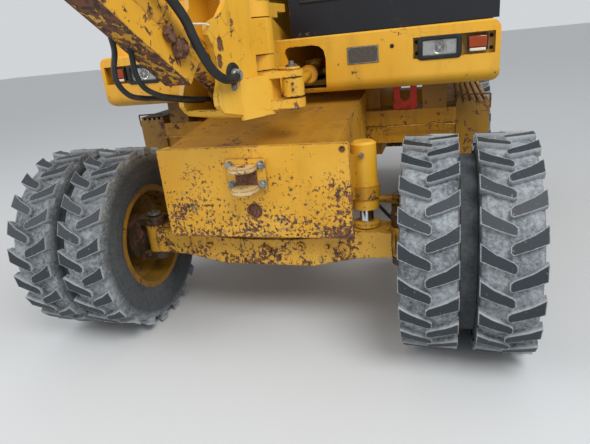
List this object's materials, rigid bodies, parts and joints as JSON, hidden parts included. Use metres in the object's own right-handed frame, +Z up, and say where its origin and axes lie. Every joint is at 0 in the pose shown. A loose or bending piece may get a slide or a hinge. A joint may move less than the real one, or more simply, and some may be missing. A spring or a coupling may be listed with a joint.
{
  "type": "wheeled excavator",
  "caption": "Wheeled excavator with twin tyres, a rear blade and a swing-post boom: the upper part slews, the boom, arm and bucket lift and curl, the front wheels steer.",
  "frame": {"origin": "on the ground, midway between the rear blade and the bucket's front, on the machine's centre line", "axes": "+X forward, the way the cab looks; +Y to the machine's left; +Z up"},
  "size_m": [6.1285, 2.36, 3.2014],
  "materials": {
    "yellow_paint": "worn gloss enamel, dusty, scratched",
    "black_paint": "satin black enamel",
    "dark_iron": "oily dark casting",
    "rod_steel": "hard chrome rod with oil film",
    "tyre_rubber": "dusty black rubber with worn lug tops",
    "black_plastic": "moulded, grained",
    "seat_cloth": "dark woven seat cover",
    "window_glass": "clear tinted pane",
    "red_paint": "worn red enamel",
    "lamp_plastic": "lamp lens in a dark housing"
  },
  "bodies": {
    "chassis": {"chassis_frame": "yellow_paint", "front_plate": "yellow_paint", "tow_jaw": "yellow_paint", "steps": "yellow_paint", "lock_barrels": "yellow_paint", "lock_rods": "rod_steel", "front_axle": "yellow_paint", "rear_axle": "yellow_paint", "steering_cylinder": "dark_iron", "lock_fork": "red_paint", "slew_ring": "dark_iron"},
    "knuckle_left": {"knuckle_left": "yellow_paint"},
    "knuckle_right": {"knuckle_right": "yellow_paint"},
    "tie_rod": {"tie_rod": "yellow_paint"},
    "wheel_fl": {"rims_fl": "yellow_paint", "tyres_fl": "tyre_rubber"},
    "wheel_fr": {"rims_fr": "yellow_paint", "tyres_fr": "tyre_rubber"},
    "wheel_rl": {"rims_rl": "yellow_paint", "tyres_rl": "tyre_rubber"},
    "wheel_rr": {"rims_rr": "yellow_paint", "tyres_rr": "tyre_rubber"},
    "blade": {"blade": "yellow_paint"},
    "blade_barrels": {"blade_barrels": "yellow_paint"},
    "blade_rods": {"blade_rods": "rod_steel"},
    "upper": {"upper_frame": "yellow_paint", "bumper": "yellow_paint", "front_lamps": "lamp_plastic", "counterweight": "yellow_paint", "engine_block": "dark_iron", "engine_bay": "yellow_paint", "tank_cover": "yellow_paint", "cab_shell": "black_paint", "cab_roof": "black_paint", "cab_glass": "window_glass", "cab_seat": "seat_cloth", "cab_controls": "black_plastic", "mirrors": "black_paint"},
    "hood": {"hood": "yellow_paint", "exhaust": "black_paint"},
    "door": {"cab_door": "black_paint", "door_glass": "window_glass"},
    "swing_post": {"swing_post": "yellow_paint"},
    "swing_barrel": {"swing_barrel": "yellow_paint"},
    "swing_rod": {"swing_rod": "rod_steel"},
    "boom": {"boom": "yellow_paint"},
    "boom_barrel": {"boom_barrel": "yellow_paint"},
    "boom_rod": {"boom_rod": "rod_steel"},
    "arm": {"arm": "yellow_paint"},
    "arm_barrel": {"arm_barrel": "yellow_paint"},
    "arm_rod": {"arm_rod": "rod_steel"},
    "bucket_barrel": {"bucket_barrel": "yellow_paint"},
    "bucket_rod": {"bucket_rod": "rod_steel"},
    "rocker": {"rocker": "yellow_paint"},
    "link": {"link": "yellow_paint"},
    "bucket": {"bucket": "yellow_paint"}
  },
  "joints": [
    {"name": "steer_left", "type": "hinge", "parent": "chassis", "child": "knuckle_left", "pos_m": [0.07, 0.645, 0.478], "axis": [0, 0, 1], "range_deg": [-28, 28]},
    {"name": "steer_right", "type": "hinge", "parent": "chassis", "child": "knuckle_right", "pos_m": [0.07, -0.645, 0.478], "axis": [0, 0, 1], "range_deg": [-28.2, 28.2]},
    {"name": "tie_rod_slide", "type": "slide", "parent": "chassis", "child": "tie_rod", "axis": [0, 1, 0], "range_m": [-0.0995, 0.0995]},
    {"name": "wheel_fl_spin", "type": "hinge", "parent": "knuckle_left", "child": "wheel_fl", "pos_m": [0.07, 0.916, 0.478], "axis": [0, 1, 0], "continuous": true},
    {"name": "wheel_fr_spin", "type": "hinge", "parent": "knuckle_right", "child": "wheel_fr", "pos_m": [0.07, -0.916, 0.478], "axis": [0, 1, 0], "continuous": true},
    {"name": "wheel_rl_spin", "type": "hinge", "parent": "chassis", "child": "wheel_rl", "pos_m": [-2.33, 0.916, 0.478], "axis": [0, 1, 0], "continuous": true},
    {"name": "wheel_rr_spin", "type": "hinge", "parent": "chassis", "child": "wheel_rr", "pos_m": [-2.33, -0.916, 0.478], "axis": [0, 1, 0], "continuous": true},
    {"name": "blade_lift", "type": "hinge", "parent": "chassis", "child": "blade", "pos_m": [-2.527, 0, 0.47], "axis": [0, -1, 0], "range_deg": [0, 28]},
    {"name": "blade_barrels_tilt", "type": "hinge", "parent": "chassis", "child": "blade_barrels", "pos_m": [-2.557, 0, 0.91], "axis": [0, -1, 0], "range_deg": [0, 13.5]},
    {"name": "blade_rods_slide", "type": "slide", "parent": "blade_barrels", "child": "blade_rods", "axis": [-0.7099, 0, -0.7043], "range_m": [0, 0.1506]},
    {"name": "slew", "type": "hinge", "parent": "chassis", "child": "upper", "pos_m": [-1.13, 0, 1.128], "axis": [0, 0, 1], "continuous": true},
    {"name": "hood_lift", "type": "hinge", "parent": "upper", "child": "hood", "pos_m": [-1.93, 0, 2], "axis": [0, 1, 0], "range_deg": [0, 55]},
    {"name": "door_swing", "type": "hinge", "parent": "upper", "child": "door", "pos_m": [-1.41, 1.073, 2.1], "axis": [0, 0, 1], "range_deg": [0, 95]},
    {"name": "swing", "type": "hinge", "parent": "upper", "child": "swing_post", "pos_m": [0.1, 0.033, 1.3], "axis": [0, 0, 1], "range_deg": [-40, 80]},
    {"name": "swing_barrel_turn", "type": "hinge", "parent": "upper", "child": "swing_barrel", "pos_m": [-0.93, 0.055, 1.212], "axis": [0, 0, 1], "range_deg": [-2.2, 4.2]},
    {"name": "swing_rod_slide", "type": "slide", "parent": "swing_barrel", "child": "swing_rod", "axis": [0.9889, 0.1488, 0], "range_m": [-0.2463, 0.1242]},
    {"name": "boom_lift", "type": "hinge", "parent": "swing_post", "child": "boom", "pos_m": [0.28353, -0.01618, 1.74], "axis": [-0.2588, -0.9659, 0], "range_deg": [-45, 40]},
    {"name": "boom_barrel_tilt", "type": "hinge", "parent": "swing_post", "child": "boom_barrel", "pos_m": [0.30767, -0.02265, 1.22], "axis": [-0.2588, -0.9659, 0], "range_deg": [-35.98, 32]},
    {"name": "boom_rod_slide", "type": "slide", "parent": "boom_barrel", "child": "boom_rod", "axis": [0.7399, -0.1983, 0.6428], "range_m": [-0.3256, 0.2896]},
    {"name": "arm_in", "type": "hinge", "parent": "boom", "child": "arm", "pos_m": [2.88187, -0.7124, 2.72], "axis": [0.2588, 0.9659, 0], "range_deg": [-70, 30]},
    {"name": "arm_barrel_tilt", "type": "hinge", "parent": "boom", "child": "arm_barrel", "pos_m": [1.404, -0.31641, 2.895], "axis": [0.2588, 0.9659, 0], "range_deg": [-0.55, 0.35]},
    {"name": "arm_rod_slide", "type": "slide", "parent": "arm_barrel", "child": "arm_rod", "axis": [0.9546, -0.2558, 0.153], "range_m": [-0.4455, 0.1921]},
    {"name": "bucket_curl", "type": "hinge", "parent": "arm", "child": "bucket", "pos_m": [2.60511, -0.63824, 1.09507], "axis": [0.2588, 0.9659, 0], "range_deg": [-68, 50]},
    {"name": "rocker_turn", "type": "hinge", "parent": "arm", "child": "rocker", "pos_m": [2.62857, -0.64453, 1.40557], "axis": [0.2588, 0.9659, 0], "range_deg": [-56.98, 41.95]},
    {"name": "link_turn", "type": "hinge", "parent": "rocker", "child": "link", "pos_m": [2.8964, -0.71629, 1.3666], "axis": [0.2588, 0.9659, 0], "range_deg": [-36.7, 49.84]},
    {"name": "bucket_barrel_tilt", "type": "hinge", "parent": "arm", "child": "bucket_barrel", "pos_m": [2.99689, -0.74322, 2.44515], "axis": [0.2588, 0.9659, 0], "range_deg": [-1.05, 1.36]},
    {"name": "bucket_rod_slide", "type": "slide", "parent": "bucket_barrel", "child": "bucket_rod", "axis": [-0.0927, 0.0249, -0.9954], "range_m": [-0.2398, 0.1769]}
  ],
  "couplings": [
    {"joint": "steer_right", "follows": "steer_left", "ratio": 1},
    {"joint": "tie_rod_slide", "follows": "steer_left", "m_per_rad": -0.2},
    {"joint": "blade_barrels_tilt", "follows": "blade_lift", "ratio": 0.475},
    {"joint": "blade_rods_slide", "follows": "blade_lift", "m_per_rad": 0.304},
    {"joint": "swing_barrel_turn", "follows": "swing", "ratio": 0.05},
    {"joint": "swing_rod_slide", "follows": "swing", "m_per_rad": -0.175},
    {"joint": "boom_barrel_tilt", "follows": "boom_lift", "ratio": 0.795},
    {"joint": "boom_rod_slide", "follows": "boom_lift", "m_per_rad": 0.412},
    {"joint": "arm_barrel_tilt", "follows": "arm_in", "ratio": 0.005},
    {"joint": "arm_rod_slide", "follows": "arm_in", "m_per_rad": 0.363},
    {"joint": "rocker_turn", "follows": "bucket_curl", "ratio": 0.835},
    {"joint": "link_turn", "follows": "bucket_curl", "ratio": -0.73},
    {"joint": "bucket_barrel_tilt", "follows": "bucket_curl", "ratio": -0.017},
    {"joint": "bucket_rod_slide", "follows": "bucket_curl", "m_per_rad": 0.2004}
  ]
}
